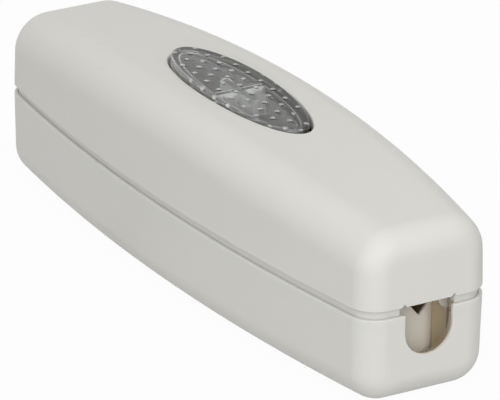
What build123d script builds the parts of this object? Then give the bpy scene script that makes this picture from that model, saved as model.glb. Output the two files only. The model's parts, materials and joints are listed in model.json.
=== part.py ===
from build123d import *

import os
from math import cos, radians, sin, sqrt, tan

# Inline cord dimmer: a two-part moulded housing with a clear push button over a dimmer board.
# X runs along the housing, Z is up, and the origin is at the middle of the base.
# Sizes are in millimetres and angles in degrees.

# Housing, outside
LENGTH = 98.0
MID_WIDTH = 26.5
END_WIDTH = 19.2
CORNER_RADIUS = 4.0
TOP_HEIGHT = 27.2
TOP_CAMBER = 3.2
TOP_EDGE_RADIUS = 5.6
BASE_EDGE_RADIUS = 4.6
RIM_HEIGHT = 12.7
DRAFT = 1.0
WALL = 1.8

# Seam between the two shells
SEAM_GAP = 1.2
SEAM_EDGE_RADIUS = 0.12
TONGUE_THICKNESS = 1.2
TONGUE_DEPTH = 1.5
FIT = 0.1

# Cord inlets, one in each end
INLET_RADIUS = 3.72
INLET_AXIS_HEIGHT = 10.24
INLET_MARGIN = 0.55
BREAK_NOTCH_WIDTH = 1.0
BREAK_NOTCH_HEIGHT = 0.5

# Moulded grips behind each inlet: a half wall with a V notch and a low stop below, a rounded finger above
GRIP_GAP = 0.6
GRIP_THICKNESS = 2.9
GRIP_EDGE_RADIUS = 2.7
GRIP_TOP = 13.0
GRIP_LONG_SIDE = 5.2
GRIP_SHOULDER = 1.55
GRIP_NOTCH_DEPTH = 2.0
GRIP_NOTCH_WIDTH = 3.4
FINGER_OFFSET = 4.4
FINGER_WIDTH = 2.8
FINGER_BOTTOM = 11.4
FINGER_THICKNESS = 1.2
STOP_INSET = 6.5
STOP_THICKNESS = 1.2
STOP_WIDTH = 8.0
STOP_OFFSET = 3.4
STOP_TOP = 11.0

# Housing screws, one at each end on opposite sides
SCREW_END_DISTANCE = 8.6
SCREW_SIDE_OFFSET = 4.7
SCREW_RADIUS = 1.3
SCREW_LENGTH = 15.0
SCREW_HEAD_RADIUS = 2.5
SCREW_HEAD_HEIGHT = 1.9
SCREW_SEAT = 4.0
SCREW_RECESS_WIDTH = 0.7
SCREW_RECESS_LENGTH = 2.8
SCREW_RECESS_DEPTH = 0.9
SCREW_POST_WALL = 1.0
BOSS_RADIUS = 3.0
BOSS_SPLIT = 11.0

# Push button
HOLE_LENGTH = 35.2
HOLE_WIDTH = 11.4
HOLE_EDGE_RADIUS = 0.3
BUTTON_END_GAP = 0.75
BUTTON_SIDE_GAP = 0.22
BUTTON_LIFT = 0.58
BUTTON_TIP = 1.9
BUTTON_EDGE_RADIUS = 0.45
BUTTON_INNER_RADIUS = 0.4
BUTTON_PLATE = 1.8
BUTTON_WALL = 1.2
BUTTON_TRAVEL = 0.5
FLANGE_WIDTH = 1.3
FLANGE_THICKNESS = 1.0
FLANGE_CLEARANCE = 0.1
PUSHER_RIB = 0.9
PUSHER_LENGTH = 8.0
PUSHER_GAP = 0.05
DOT_PITCH = 3.3
DOT_RADIUS = 0.45
DOT_HEIGHT = 0.2
DOT_MARGIN = 0.2

# Circuit board and its supports
BOARD_THICKNESS = 1.6
BOARD_CORNER = 1.0
BOARD_SIDE_GAP = 0.4
BOARD_END_GAP = 0.6
SUPPORT_HEIGHT = 5.0
SUPPORT_RADIUS = 1.7
SUPPORT_PIN_RADIUS = 0.8
SUPPORT_PIN_HEIGHT = 2.0
SUPPORT_END_DISTANCE = 6.0
SUPPORT_EDGE_DISTANCE = 2.2
EDGE_MARGIN = 0.6

# Key switch
SWITCH_SIDE = 6.2
SWITCH_BODY_HEIGHT = 3.6
SWITCH_BASE = 0.8
SWITCH_HEIGHT = 13.0
STEM_RADIUS = 1.7
STEM_FOOT_RADIUS = 2.2
STEM_FOOT_HEIGHT = 0.8
STEM_GAP = 0.2

# Locator lamp under the button
LAMP_X = -6.7
LAMP_Y = 1.9
LAMP_RADIUS = 1.0
LAMP_RIM_RADIUS = 1.3
LAMP_RIM_HEIGHT = 0.8
LAMP_HEIGHT = 4.0
LAMP_HEADROOM = 0.5
LAMP_LEG = 0.5
LAMP_LEG_SPACING = 1.4

# Power parts
TRIAC_WIDTH = 8.0
TRIAC_THICKNESS = 3.2
TRIAC_HEIGHT = 8.0
TRIAC_LEG_WIDTH = 0.8
TRIAC_LEG_PITCH = 2.3
TRIAC_LEG_HEIGHT = 2.0
HEAT_SINK_LENGTH = 14.0
HEAT_SINK_HEIGHT = 10.4
HEAT_SINK_THICKNESS = 1.4
FILM_LENGTH = 12.5
FILM_WIDTH = 6.0
FILM_HEIGHT = 10.0
FILM_EDGE_RADIUS = 0.6
CAN_RADIUS = 4.0
CAN_HEIGHT = 10.5
CAN_GROOVE = 0.4
CAN_GROOVE_HEIGHT = 1.8
CHOKE_RADIUS = 3.5
CHOKE_CORE_RADIUS = 1.8
CHOKE_HEIGHT = 9.5
CHOKE_FLANGE = 1.3
CHOKE_WIRE_GAP = 0.3
FUSE_RADIUS = 3.4
FUSE_HEIGHT = 7.6
FUSE_EDGE_RADIUS = 0.6
VARISTOR_RADIUS = 3.5
VARISTOR_THICKNESS = 3.4
VARISTOR_EDGE_RADIUS = 1.0

# Small parts
CHIP_LENGTH = 5.0
CHIP_WIDTH = 3.9
CHIP_HEIGHT = 1.5
CHIP_LEGS = 4
CHIP_LEG_PITCH = 1.27
CHIP_LEG_WIDTH = 0.4
CHIP_LEG_REACH = 0.9
CHIP_LEG_HEIGHT = 0.5
BRIDGE_LENGTH = 4.7
BRIDGE_WIDTH = 3.9
BRIDGE_HEIGHT = 2.6
RESISTOR_LENGTH = 6.0
RESISTOR_RADIUS = 1.2
RESISTOR_WAIST = 0.15
RESISTOR_END = 1.4

# Terminal blocks, one at each end of the board
TERMINAL_POLES = 2
TERMINAL_PITCH = 5.0
TERMINAL_DEPTH = 8.0
TERMINAL_HEIGHT = 9.6
TERMINAL_EDGE = 0.5
TERMINAL_CHAMFER = 1.6
CAGE_WIDTH = 3.8
CAGE_HEIGHT = 4.6
CAGE_DEPTH = 5.4
CAGE_SILL = 1.0
WIRE_RADIUS = 1.3
CLAMP_SCREW_RADIUS = 1.5
CLAMP_SCREW_RECESS = 0.8
CLAMP_SCREW_SLOT = 0.6
CLAMP_SCREW_SLOT_DEPTH = 0.8

# Values worked out from the sizes above
HALF_LENGTH = LENGTH / 2
SIDE_BOW = (MID_WIDTH - END_WIDTH) / 2
SIDE_RADIUS = (HALF_LENGTH**2 + SIDE_BOW**2) / (2 * SIDE_BOW)
CAMBER_RADIUS = (HALF_LENGTH**2 + TOP_CAMBER**2) / (2 * TOP_CAMBER)
SEAM_TOP = RIM_HEIGHT + SEAM_GAP
TONGUE_INSET = WALL - TONGUE_THICKNESS
TONGUE_BOTTOM = RIM_HEIGHT - TONGUE_DEPTH
REBATE_INSET = TONGUE_INSET - FIT
INLET_POCKET_RADIUS = INLET_RADIUS + INLET_MARGIN
BREAK_NOTCH_OFFSET = INLET_RADIUS + INLET_MARGIN / 4
GRIP_INSET = WALL + GRIP_GAP
GRIP_SHORT_SIDE = GRIP_NOTCH_WIDTH / 2 + GRIP_SHOULDER
SCREW_X = HALF_LENGTH - SCREW_END_DISTANCE
SCREW_HOLE_RADIUS = SCREW_RADIUS + FIT
SCREW_HEAD_HOLE_RADIUS = SCREW_HEAD_RADIUS + 2 * FIT
SCREW_POST_RADIUS = SCREW_HEAD_HOLE_RADIUS + SCREW_POST_WALL
SCREW_TIP = SCREW_SEAT + SCREW_LENGTH
HOLE_A = HOLE_LENGTH / 2 - HOLE_EDGE_RADIUS
HOLE_B = HOLE_WIDTH / 2 - HOLE_EDGE_RADIUS
BUTTON_A = HOLE_A - BUTTON_END_GAP
BUTTON_B = HOLE_B - BUTTON_SIDE_GAP
BOARD_UNDERSIDE = WALL + SUPPORT_HEIGHT
BOARD_TOP = BOARD_UNDERSIDE + BOARD_THICKNESS
BOARD_LENGTH = 2 * (SCREW_X - SCREW_POST_RADIUS - BOARD_END_GAP)
STEM_TOP = BOARD_TOP + SWITCH_HEIGHT
TERMINAL_WIDTH = TERMINAL_POLES * TERMINAL_PITCH
TERMINAL_X = BOARD_LENGTH / 2 - TERMINAL_EDGE - TERMINAL_DEPTH / 2
SUPPORT_X = BOARD_LENGTH / 2 - SUPPORT_END_DISTANCE
ENDS = (1, -1)


def half_width(x, inset=0.0):
    """Half the plan width at x, with the outline moved in by inset."""
    return sqrt((SIDE_RADIUS - inset) ** 2 - x**2) - (SIDE_RADIUS - MID_WIDTH / 2)


def camber_drop(x):
    """How far the cambered top has fallen at x."""
    return CAMBER_RADIUS - sqrt(CAMBER_RADIUS**2 - x**2)


BOARD_WIDTH = 2 * (half_width(BOARD_LENGTH / 2, WALL) - RIM_HEIGHT * tan(radians(DRAFT)) - BOARD_SIDE_GAP)
SUPPORT_Y = BOARD_WIDTH / 2 - SUPPORT_EDGE_DISTANCE
BOARD_ROW = BOARD_WIDTH / 2 - EDGE_MARGIN


def bowed_outline(plane, inset, corner=0.0):
    """Plan of the housing on a plane: bowed sides and straight ends, with corners rounded if asked."""
    end = HALF_LENGTH - inset
    end_y = half_width(end, inset)
    mid_y = half_width(0, inset)
    with BuildSketch(plane) as plan:
        with BuildLine():
            near_side = ThreePointArc((-end, -end_y), (0, -mid_y), (end, -end_y))
            far_side = ThreePointArc((end, end_y), (0, mid_y), (-end, end_y))
            Line(near_side @ 1, far_side @ 0)
            Line(far_side @ 1, near_side @ 0)
        make_face()
        if corner > 0:
            fillet(plan.vertices(), corner)
    return plan.sketch


def camber_profile(plane, top, reach, depth):
    """Side view, on a plane, of a block that reaches both ways under the housing's camber."""
    drop = camber_drop(reach)
    with BuildSketch(plane) as profile:
        with BuildLine():
            crest = ThreePointArc((-reach, top - drop), (0, top), (reach, top - drop))
            Polyline(crest @ 1, (reach, top - depth), (-reach, top - depth), crest @ 0)
        make_face()
    return profile.sketch


def upper_form(inset):
    """The upper shell's moulded form, moved in by inset at its sides, ends and top."""
    with BuildPart() as form:
        extrude(bowed_outline(Plane.XY.offset(SEAM_TOP), inset), amount=TOP_HEIGHT - SEAM_TOP, taper=DRAFT)
        camber = camber_profile(Plane.XZ, TOP_HEIGHT - inset, LENGTH, TOP_HEIGHT)
        extrude(camber, amount=MID_WIDTH, both=True, mode=Mode.INTERSECT)
        crown = form.faces().sort_by(Axis.Z)[-1]
        fillet(crown.edges().sort_by(SortBy.LENGTH)[-2:], TOP_EDGE_RADIUS - inset)
        rear = form.faces().sort_by(Axis.X)[0]
        front = form.faces().sort_by(Axis.X)[-1]
        arches = rear.edges().sort_by(Axis.Z)[1:] + front.edges().sort_by(Axis.Z)[1:]
        fillet(arches, CORNER_RADIUS - inset)
    return form.part


def lower_form(inset, bottom):
    """The lower shell's moulded form, moved in by inset at its sides and ends."""
    with BuildPart() as form:
        rim = bowed_outline(Plane.XY.offset(RIM_HEIGHT), inset)
        extrude(rim, amount=RIM_HEIGHT - bottom, dir=(0, 0, -1), taper=DRAFT)
        base = form.faces().sort_by(Axis.Z)[0]
        fillet(base.edges().sort_by(SortBy.LENGTH)[-2:], BASE_EDGE_RADIUS - inset)
        rear = form.faces().sort_by(Axis.X)[0]
        front = form.faces().sort_by(Axis.X)[-1]
        arches = rear.edges().sort_by(Axis.Z)[:-1] + front.edges().sort_by(Axis.Z)[:-1]
        fillet(arches, CORNER_RADIUS - inset)
    return form.part


def end_plane(end, inset):
    """A plane across the housing at one end: its x crosses the housing, its y is up, it faces out."""
    return Plane((end * (HALF_LENGTH - inset), 0, 0), x_dir=(0, end, 0), z_dir=(end, 0, 0))


def inlet_outline(plane, radius):
    """A U-shaped cord inlet on a plane across the housing, open at its top."""
    with BuildSketch(plane) as outline:
        with Locations((0, INLET_AXIS_HEIGHT)):
            Circle(radius)
            Rectangle(2 * radius, RIM_HEIGHT, align=(Align.CENTER, Align.MIN))
    return outline.sketch


def screw_places():
    """Where the two housing screws stand in plan."""
    return [(end * SCREW_X, -end * SCREW_SIDE_OFFSET) for end in ENDS]


def button_plane(height):
    """A plane square to the tipped button, at a height above the housing's crest."""
    tip = radians(BUTTON_TIP)
    crest = Plane((0, 0, TOP_HEIGHT), x_dir=(cos(tip), 0, -sin(tip)), z_dir=(sin(tip), 0, cos(tip)))
    return crest.offset(height)


def dot_places():
    """Where the raised dots stand in the button's plane: a grid with a dot inside each square."""
    reach_a = BUTTON_A - BUTTON_EDGE_RADIUS - DOT_MARGIN
    reach_b = BUTTON_B - BUTTON_EDGE_RADIUS - DOT_MARGIN
    columns = int(2 * reach_a / DOT_PITCH) + 1
    rows = int(2 * reach_b / DOT_PITCH) + 1
    places = []
    for column in range(-columns, columns + 1):
        for row in range(-rows, rows + 1):
            x, y = column * DOT_PITCH / 2, row * DOT_PITCH / 2
            if (column + row) % 2 == 0 and (x / reach_a) ** 2 + (y / reach_b) ** 2 <= 1:
                places.append((x, y))
    return places


def row_places(lengths, end):
    """Middles of a row of parts, set out with equal gaps from the key switch to one terminal block."""
    inner_edge = SWITCH_SIDE / 2
    outer_edge = TERMINAL_X - TERMINAL_DEPTH / 2
    gap = (outer_edge - inner_edge - sum(lengths)) / (len(lengths) + 1)
    places = []
    edge = inner_edge
    for length in lengths:
        places.append(end * (edge + gap + length / 2))
        edge += gap + length
    return places


def terminal_poles(end):
    """Centres of one terminal block's poles in plan."""
    first = -(TERMINAL_POLES - 1) / 2
    return [(end * TERMINAL_X, (first + pole) * TERMINAL_PITCH) for pole in range(TERMINAL_POLES)]


def finish(part, name):
    """Label a finished piece and write it out."""
    part.label = name
    export_step(part, f"parts/{name}.step")


UP = (Align.CENTER, Align.CENTER, Align.MIN)
DOWN = (Align.CENTER, Align.CENTER, Align.MAX)
os.makedirs("parts", exist_ok=True)

# Lower shell: the room inside it leaves the grips, screw posts and board supports standing
lower_outside = lower_form(0, 0)
lower_inside = lower_form(WALL, WALL)
grip_foot = WALL - FIT
rebate = bowed_outline(Plane.XY.offset(TONGUE_BOTTOM - FIT), REBATE_INSET, CORNER_RADIUS - REBATE_INSET)

with BuildPart() as lower_room:
    add(lower_inside)
    with Locations(*screw_places()):
        Cylinder(SCREW_POST_RADIUS, BOSS_SPLIT, align=UP, mode=Mode.SUBTRACT)
    with GridLocations(2 * SUPPORT_X, 2 * SUPPORT_Y, 2, 2):
        Cylinder(SUPPORT_RADIUS, BOARD_UNDERSIDE, align=UP, mode=Mode.SUBTRACT)

grips = []
for end in ENDS:
    with BuildPart() as grip:
        with BuildSketch(end_plane(end, GRIP_INSET)):
            with BuildLine():
                Polyline(
                    (-GRIP_LONG_SIDE, grip_foot),
                    (GRIP_SHORT_SIDE, grip_foot),
                    (GRIP_SHORT_SIDE, GRIP_TOP),
                    (GRIP_NOTCH_WIDTH / 2, GRIP_TOP),
                    (0, GRIP_TOP - GRIP_NOTCH_DEPTH),
                    (-GRIP_NOTCH_WIDTH / 2, GRIP_TOP),
                    (-GRIP_LONG_SIDE, GRIP_TOP),
                    close=True,
                )
            make_face()
        extrude(amount=-GRIP_THICKNESS)
        short_side = grip.edges().filter_by(Axis.Z).group_by(Axis.Y)[-1 if end > 0 else 0]
        fillet(short_side.sort_by(Axis.X)[-1 if end > 0 else 0], GRIP_EDGE_RADIUS)
        with BuildSketch(end_plane(end, WALL / 2)):
            with Locations((-GRIP_LONG_SIDE, grip_foot)):
                Rectangle(
                    GRIP_LONG_SIDE + GRIP_SHORT_SIDE - GRIP_EDGE_RADIUS,
                    TONGUE_BOTTOM - FIT - grip_foot,
                    align=(Align.MIN, Align.MIN),
                )
        extrude(amount=-(GRIP_INSET - WALL / 2))
        with BuildSketch(end_plane(end, STOP_INSET)):
            with Locations((STOP_OFFSET, grip_foot)):
                Rectangle(STOP_WIDTH, STOP_TOP - grip_foot, align=(Align.CENTER, Align.MIN))
        extrude(amount=-STOP_THICKNESS)
    grips.append(grip.part)

with BuildPart() as lower_shell:
    add(lower_outside)
    fillet(lower_shell.faces().sort_by(Axis.Z)[-1].edges(), SEAM_EDGE_RADIUS)
    extrude(rebate, amount=TONGUE_DEPTH + 2 * FIT, mode=Mode.SUBTRACT)
    add(lower_room.part, mode=Mode.SUBTRACT)
    for grip in grips:
        add(grip)
    for end in ENDS:
        inlet_pocket = inlet_outline(end_plane(end, REBATE_INSET), INLET_POCKET_RADIUS)
        extrude(inlet_pocket, amount=-(GRIP_INSET - REBATE_INSET), mode=Mode.SUBTRACT)
        inlet = inlet_outline(end_plane(end, -WALL), INLET_RADIUS)
        extrude(inlet, amount=-2 * WALL, mode=Mode.SUBTRACT)
    with GridLocations(2 * SUPPORT_X, 2 * SUPPORT_Y, 2, 2):
        Cylinder(SUPPORT_PIN_RADIUS, BOARD_UNDERSIDE + SUPPORT_PIN_HEIGHT, align=UP)
    with Locations(*screw_places()):
        Cylinder(SCREW_HOLE_RADIUS, BOSS_SPLIT, align=UP, mode=Mode.SUBTRACT)
        Cylinder(SCREW_HEAD_HOLE_RADIUS, SCREW_SEAT, align=UP, mode=Mode.SUBTRACT)
finish(lower_shell.part, "lower_shell")

# Upper shell: the room inside it leaves the screw bosses and the cord fingers standing
upper_outside = upper_form(0)
upper_inside = upper_form(WALL)
tongue_outside = bowed_outline(Plane.XY.offset(TONGUE_BOTTOM), TONGUE_INSET, CORNER_RADIUS - TONGUE_INSET)
tongue_inside = bowed_outline(Plane.XY.offset(TONGUE_BOTTOM), WALL, CORNER_RADIUS - WALL)

with BuildPart() as upper_posts:
    with Locations(*[(x, y, BOSS_SPLIT) for x, y in screw_places()]):
        Cylinder(BOSS_RADIUS, TOP_HEIGHT - BOSS_SPLIT, align=UP)
    for end in ENDS:
        with BuildSketch(end_plane(end, GRIP_INSET)):
            with Locations((FINGER_OFFSET, FINGER_BOTTOM + FINGER_WIDTH / 2)):
                Circle(FINGER_WIDTH / 2)
                Rectangle(FINGER_WIDTH, TOP_HEIGHT - FINGER_BOTTOM, align=(Align.CENTER, Align.MIN))
        extrude(amount=-FINGER_THICKNESS)

with BuildPart() as upper_room:
    add(upper_inside)
    add(upper_posts.part, mode=Mode.SUBTRACT)

with BuildPart() as post_ends:
    add(upper_posts.part)
    split(bisect_by=Plane.XY.offset(SEAM_TOP), keep=Keep.BOTTOM)

with BuildPart() as tongue:
    extrude(tongue_outside, amount=SEAM_TOP + WALL - TONGUE_BOTTOM)
    extrude(tongue_inside, amount=SEAM_TOP + WALL - TONGUE_BOTTOM, mode=Mode.SUBTRACT)
    with Locations((0, 0, SEAM_TOP)):
        Box(LENGTH, 2 * INLET_POCKET_RADIUS, SEAM_TOP, align=DOWN, mode=Mode.SUBTRACT)
    add(upper_inside, mode=Mode.SUBTRACT)

with BuildPart() as upper_shell:
    add(upper_outside)
    fillet(upper_shell.faces().sort_by(Axis.Z)[0].edges(), SEAM_EDGE_RADIUS)
    with BuildSketch(Plane.XY.offset(SEAM_TOP)):
        Ellipse(HOLE_A, HOLE_B)
    extrude(amount=TOP_HEIGHT, mode=Mode.SUBTRACT)
    fillet(upper_shell.edges(Select.LAST).sort_by(Axis.Z)[-1], HOLE_EDGE_RADIUS)
    add(upper_room.part, mode=Mode.SUBTRACT)
    add(tongue.part)
    add(post_ends.part)
    with Locations(*[(x, y, BOSS_SPLIT) for x, y in screw_places()]):
        Cylinder(SCREW_HOLE_RADIUS, SCREW_TIP - BOSS_SPLIT + FIT, align=UP, mode=Mode.SUBTRACT)
    for end in ENDS:
        with BuildSketch(end_plane(end, -WALL)):
            with Locations((-BREAK_NOTCH_OFFSET, SEAM_TOP), (BREAK_NOTCH_OFFSET, SEAM_TOP)):
                Polygon(
                    (-BREAK_NOTCH_WIDTH / 2, -FIT),
                    (BREAK_NOTCH_WIDTH / 2, -FIT),
                    (0, BREAK_NOTCH_HEIGHT),
                    align=None,
                )
        extrude(amount=-2 * WALL, mode=Mode.SUBTRACT)
finish(upper_shell.part, "upper_shell")

# Housing screws, driven from below
with BuildPart() as housing_screws:
    with Locations(*[(x, y, SCREW_SEAT) for x, y in screw_places()]):
        Cylinder(SCREW_RADIUS, SCREW_LENGTH, align=UP)
        Cylinder(SCREW_HEAD_RADIUS, SCREW_HEAD_HEIGHT, align=DOWN)
    recess_plane = Plane((0, 0, SCREW_SEAT - SCREW_HEAD_HEIGHT), x_dir=(1, 0, 0), z_dir=(0, 0, 1))
    with BuildSketch(recess_plane):
        with Locations(*screw_places()):
            Rectangle(SCREW_RECESS_LENGTH, SCREW_RECESS_WIDTH)
            Rectangle(SCREW_RECESS_WIDTH, SCREW_RECESS_LENGTH)
    extrude(amount=SCREW_RECESS_DEPTH, mode=Mode.SUBTRACT)
finish(housing_screws.part, "housing_screws")

# Push button: a clear cap with a skirt, a stop flange, a cross-shaped pusher and raised dots
skirt_foot = -WALL - camber_drop(BUTTON_A + FLANGE_WIDTH) - FLANGE_CLEARANCE - FLANGE_THICKNESS
skirt_foot -= (BUTTON_A + FLANGE_WIDTH) * tan(radians(BUTTON_TIP))
plate_under = BUTTON_LIFT - BUTTON_PLATE
pusher_foot = STEM_TOP + PUSHER_GAP + STEM_RADIUS * tan(radians(BUTTON_TIP)) - TOP_HEIGHT
dot_ball = (DOT_RADIUS**2 + DOT_HEIGHT**2) / (2 * DOT_HEIGHT)
dot_level = BUTTON_LIFT + DOT_HEIGHT - dot_ball
button_side = Plane(button_plane(0).origin, x_dir=button_plane(0).x_dir, z_dir=(0, -1, 0))

with BuildPart() as button_room:
    with BuildSketch(button_plane(skirt_foot)):
        Ellipse(BUTTON_A - BUTTON_WALL, BUTTON_B - BUTTON_WALL)
    extrude(amount=plate_under - skirt_foot)
    fillet(button_room.faces().sort_by(Axis.Z)[-1].edges(), BUTTON_INNER_RADIUS)

with BuildPart() as push_button:
    with BuildSketch(button_plane(skirt_foot)):
        Ellipse(BUTTON_A, BUTTON_B)
    extrude(amount=BUTTON_LIFT - skirt_foot)
    button_camber = camber_profile(button_side, BUTTON_LIFT, HALF_LENGTH, TOP_HEIGHT)
    extrude(button_camber, amount=HOLE_WIDTH, both=True, mode=Mode.INTERSECT)
    fillet(push_button.faces().sort_by(Axis.Z)[-1].edges(), BUTTON_EDGE_RADIUS)
    with BuildSketch(button_plane(skirt_foot)):
        Ellipse(BUTTON_A + FLANGE_WIDTH, BUTTON_B + FLANGE_WIDTH)
    extrude(amount=FLANGE_THICKNESS)
    add(button_room.part, mode=Mode.SUBTRACT)
    with BuildSketch(button_plane(plate_under)):
        Rectangle(PUSHER_LENGTH, PUSHER_RIB)
        Rectangle(PUSHER_RIB, 2 * BUTTON_B - BUTTON_WALL)
    extrude(amount=pusher_foot - plate_under)
    dots = [Location((x, y, dot_level - camber_drop(x))) for x, y in dot_places()]
    with Locations(*[button_plane(0).location * dot for dot in dots]):
        Sphere(dot_ball)
finish(push_button.part, "push_button")

# Circuit board
with BuildPart() as circuit_board:
    with BuildSketch(Plane.XY.offset(BOARD_UNDERSIDE)):
        RectangleRounded(BOARD_LENGTH, BOARD_WIDTH, BOARD_CORNER)
        with GridLocations(2 * SUPPORT_X, 2 * SUPPORT_Y, 2, 2):
            Circle(SUPPORT_PIN_RADIUS + FIT, mode=Mode.SUBTRACT)
    extrude(amount=BOARD_THICKNESS)
finish(circuit_board.part, "circuit_board")

# Key switch: a square body with a long stem that the pusher works
with BuildPart() as switch_body:
    with Locations((0, 0, BOARD_TOP)):
        Box(SWITCH_SIDE, SWITCH_SIDE, SWITCH_BODY_HEIGHT, align=UP)
    with Locations((0, 0, BOARD_TOP + SWITCH_BASE)):
        Cylinder(STEM_RADIUS + STEM_GAP, SWITCH_BODY_HEIGHT, align=UP, mode=Mode.SUBTRACT)
        Cylinder(
            STEM_FOOT_RADIUS + STEM_GAP,
            BUTTON_TRAVEL + STEM_FOOT_HEIGHT + 2 * STEM_GAP,
            align=UP,
            mode=Mode.SUBTRACT,
        )
finish(switch_body.part, "switch_body")

stem_foot = BOARD_TOP + SWITCH_BASE + BUTTON_TRAVEL + STEM_GAP
with BuildPart() as switch_stem:
    with Locations((0, 0, stem_foot)):
        Cylinder(STEM_RADIUS, STEM_TOP - stem_foot, align=UP)
        Cylinder(STEM_FOOT_RADIUS, STEM_FOOT_HEIGHT, align=UP)
finish(switch_stem.part, "switch_stem")

# Locator lamp on two legs
lamp_base = TOP_HEIGHT + plate_under - BUTTON_TRAVEL - LAMP_HEADROOM - LAMP_HEIGHT
with BuildPart() as locator_lamp:
    with Locations((LAMP_X, LAMP_Y, lamp_base)):
        Cylinder(LAMP_RIM_RADIUS, LAMP_RIM_HEIGHT, align=UP)
        Cylinder(LAMP_RADIUS, LAMP_HEIGHT - LAMP_RADIUS, align=UP)
    with Locations((LAMP_X, LAMP_Y, lamp_base + LAMP_HEIGHT - LAMP_RADIUS)):
        Sphere(LAMP_RADIUS)
    for side in (-1, 1):
        with Locations((LAMP_X + side * LAMP_LEG_SPACING / 2, LAMP_Y, BOARD_TOP)):
            Box(LAMP_LEG, LAMP_LEG, lamp_base - BOARD_TOP, align=UP)
finish(locator_lamp.part, "locator_lamp")

# Where the parts of each row stand along the board
rectifier_x, triac_x = row_places((BRIDGE_LENGTH, HEAT_SINK_LENGTH), 1)
chip_x, choke_x, fuse_x = row_places((CHIP_LENGTH, 2 * CHOKE_RADIUS, 2 * FUSE_RADIUS), 1)
near_resistor_x, film_x = row_places((RESISTOR_LENGTH, FILM_LENGTH), -1)
far_resistor_x, can_x, varistor_x = row_places((RESISTOR_LENGTH, 2 * CAN_RADIUS, VARISTOR_THICKNESS), -1)

# Heat sink and triac, face to face along the near edge of the board
heat_sink_y = -BOARD_ROW + HEAT_SINK_THICKNESS / 2
triac_y = -BOARD_ROW + HEAT_SINK_THICKNESS + TRIAC_THICKNESS / 2
with BuildPart() as heat_sink:
    with Locations((triac_x, heat_sink_y, BOARD_TOP)):
        Box(HEAT_SINK_LENGTH, HEAT_SINK_THICKNESS, HEAT_SINK_HEIGHT, align=UP)
    top_corners = heat_sink.edges().filter_by(Axis.Y).group_by(Axis.Z)[-1]
    chamfer(top_corners, HEAT_SINK_THICKNESS)
finish(heat_sink.part, "heat_sink")

with BuildPart() as triac:
    with Locations((triac_x, triac_y, BOARD_TOP + TRIAC_LEG_HEIGHT)):
        Box(TRIAC_WIDTH, TRIAC_THICKNESS, TRIAC_HEIGHT, align=UP)
    top_front = triac.edges().filter_by(Axis.X).group_by(Axis.Z)[-1].sort_by(Axis.Y)[-1]
    chamfer(top_front, TRIAC_THICKNESS / 4)
    for leg in (-1, 0, 1):
        with Locations((triac_x + leg * TRIAC_LEG_PITCH, triac_y, BOARD_TOP)):
            Box(TRIAC_LEG_WIDTH, LAMP_LEG, TRIAC_LEG_HEIGHT, align=UP)
finish(triac.part, "triac")

# Film capacitor
with BuildPart() as film_capacitor:
    with Locations((film_x, -BOARD_ROW + FILM_WIDTH / 2, BOARD_TOP)):
        Box(FILM_LENGTH, FILM_WIDTH, FILM_HEIGHT, align=UP)
    fillet(film_capacitor.edges().filter_by(Axis.Z), FILM_EDGE_RADIUS)
    fillet(film_capacitor.faces().sort_by(Axis.Z)[-1].edges(), FILM_EDGE_RADIUS / 2)
finish(film_capacitor.part, "film_capacitor")

# Electrolytic capacitor: a can with a rolled groove
with BuildPart() as electrolytic_capacitor:
    with Locations((can_x, BOARD_ROW - CAN_RADIUS, BOARD_TOP)):
        Cylinder(CAN_RADIUS, CAN_HEIGHT, align=UP)
    fillet(electrolytic_capacitor.faces().sort_by(Axis.Z)[-1].edges(), CAN_GROOVE)
    with Locations((can_x, BOARD_ROW - CAN_RADIUS, BOARD_TOP + CAN_GROOVE_HEIGHT)):
        Torus(CAN_RADIUS, CAN_GROOVE, mode=Mode.SUBTRACT)
finish(electrolytic_capacitor.part, "electrolytic_capacitor")

# Suppression choke: a ferrite bobbin and its winding
choke_y = BOARD_ROW - CHOKE_RADIUS
with BuildPart() as choke_core:
    with Locations((choke_x, choke_y, BOARD_TOP)):
        Cylinder(CHOKE_CORE_RADIUS, CHOKE_HEIGHT, align=UP)
        Cylinder(CHOKE_RADIUS, CHOKE_FLANGE, align=UP)
    with Locations((choke_x, choke_y, BOARD_TOP + CHOKE_HEIGHT)):
        Cylinder(CHOKE_RADIUS, CHOKE_FLANGE, align=DOWN)
finish(choke_core.part, "choke_core")

with BuildPart() as choke_winding:
    with BuildSketch(Plane.XY.offset(BOARD_TOP + CHOKE_FLANGE)):
        with Locations((choke_x, choke_y)):
            Circle(CHOKE_RADIUS - CHOKE_WIRE_GAP)
            Circle(CHOKE_CORE_RADIUS, mode=Mode.SUBTRACT)
    extrude(amount=CHOKE_HEIGHT - 2 * CHOKE_FLANGE)
finish(choke_winding.part, "choke_winding")

# Fuse in a round case
with BuildPart() as fuse:
    with Locations((fuse_x, BOARD_ROW - FUSE_RADIUS, BOARD_TOP)):
        Cylinder(FUSE_RADIUS, FUSE_HEIGHT, align=UP)
    fillet(fuse.faces().sort_by(Axis.Z)[-1].edges(), FUSE_EDGE_RADIUS)
finish(fuse.part, "fuse")

# Varistor: a dipped disc standing on its edge
with BuildPart() as varistor:
    with BuildSketch(Plane.YZ.offset(varistor_x)):
        with Locations((BOARD_ROW - VARISTOR_RADIUS, BOARD_TOP + VARISTOR_RADIUS)):
            Circle(VARISTOR_RADIUS)
    extrude(amount=VARISTOR_THICKNESS / 2, both=True)
    fillet(varistor.edges().filter_by(GeomType.CIRCLE), VARISTOR_EDGE_RADIUS)
finish(varistor.part, "varistor")

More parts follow.
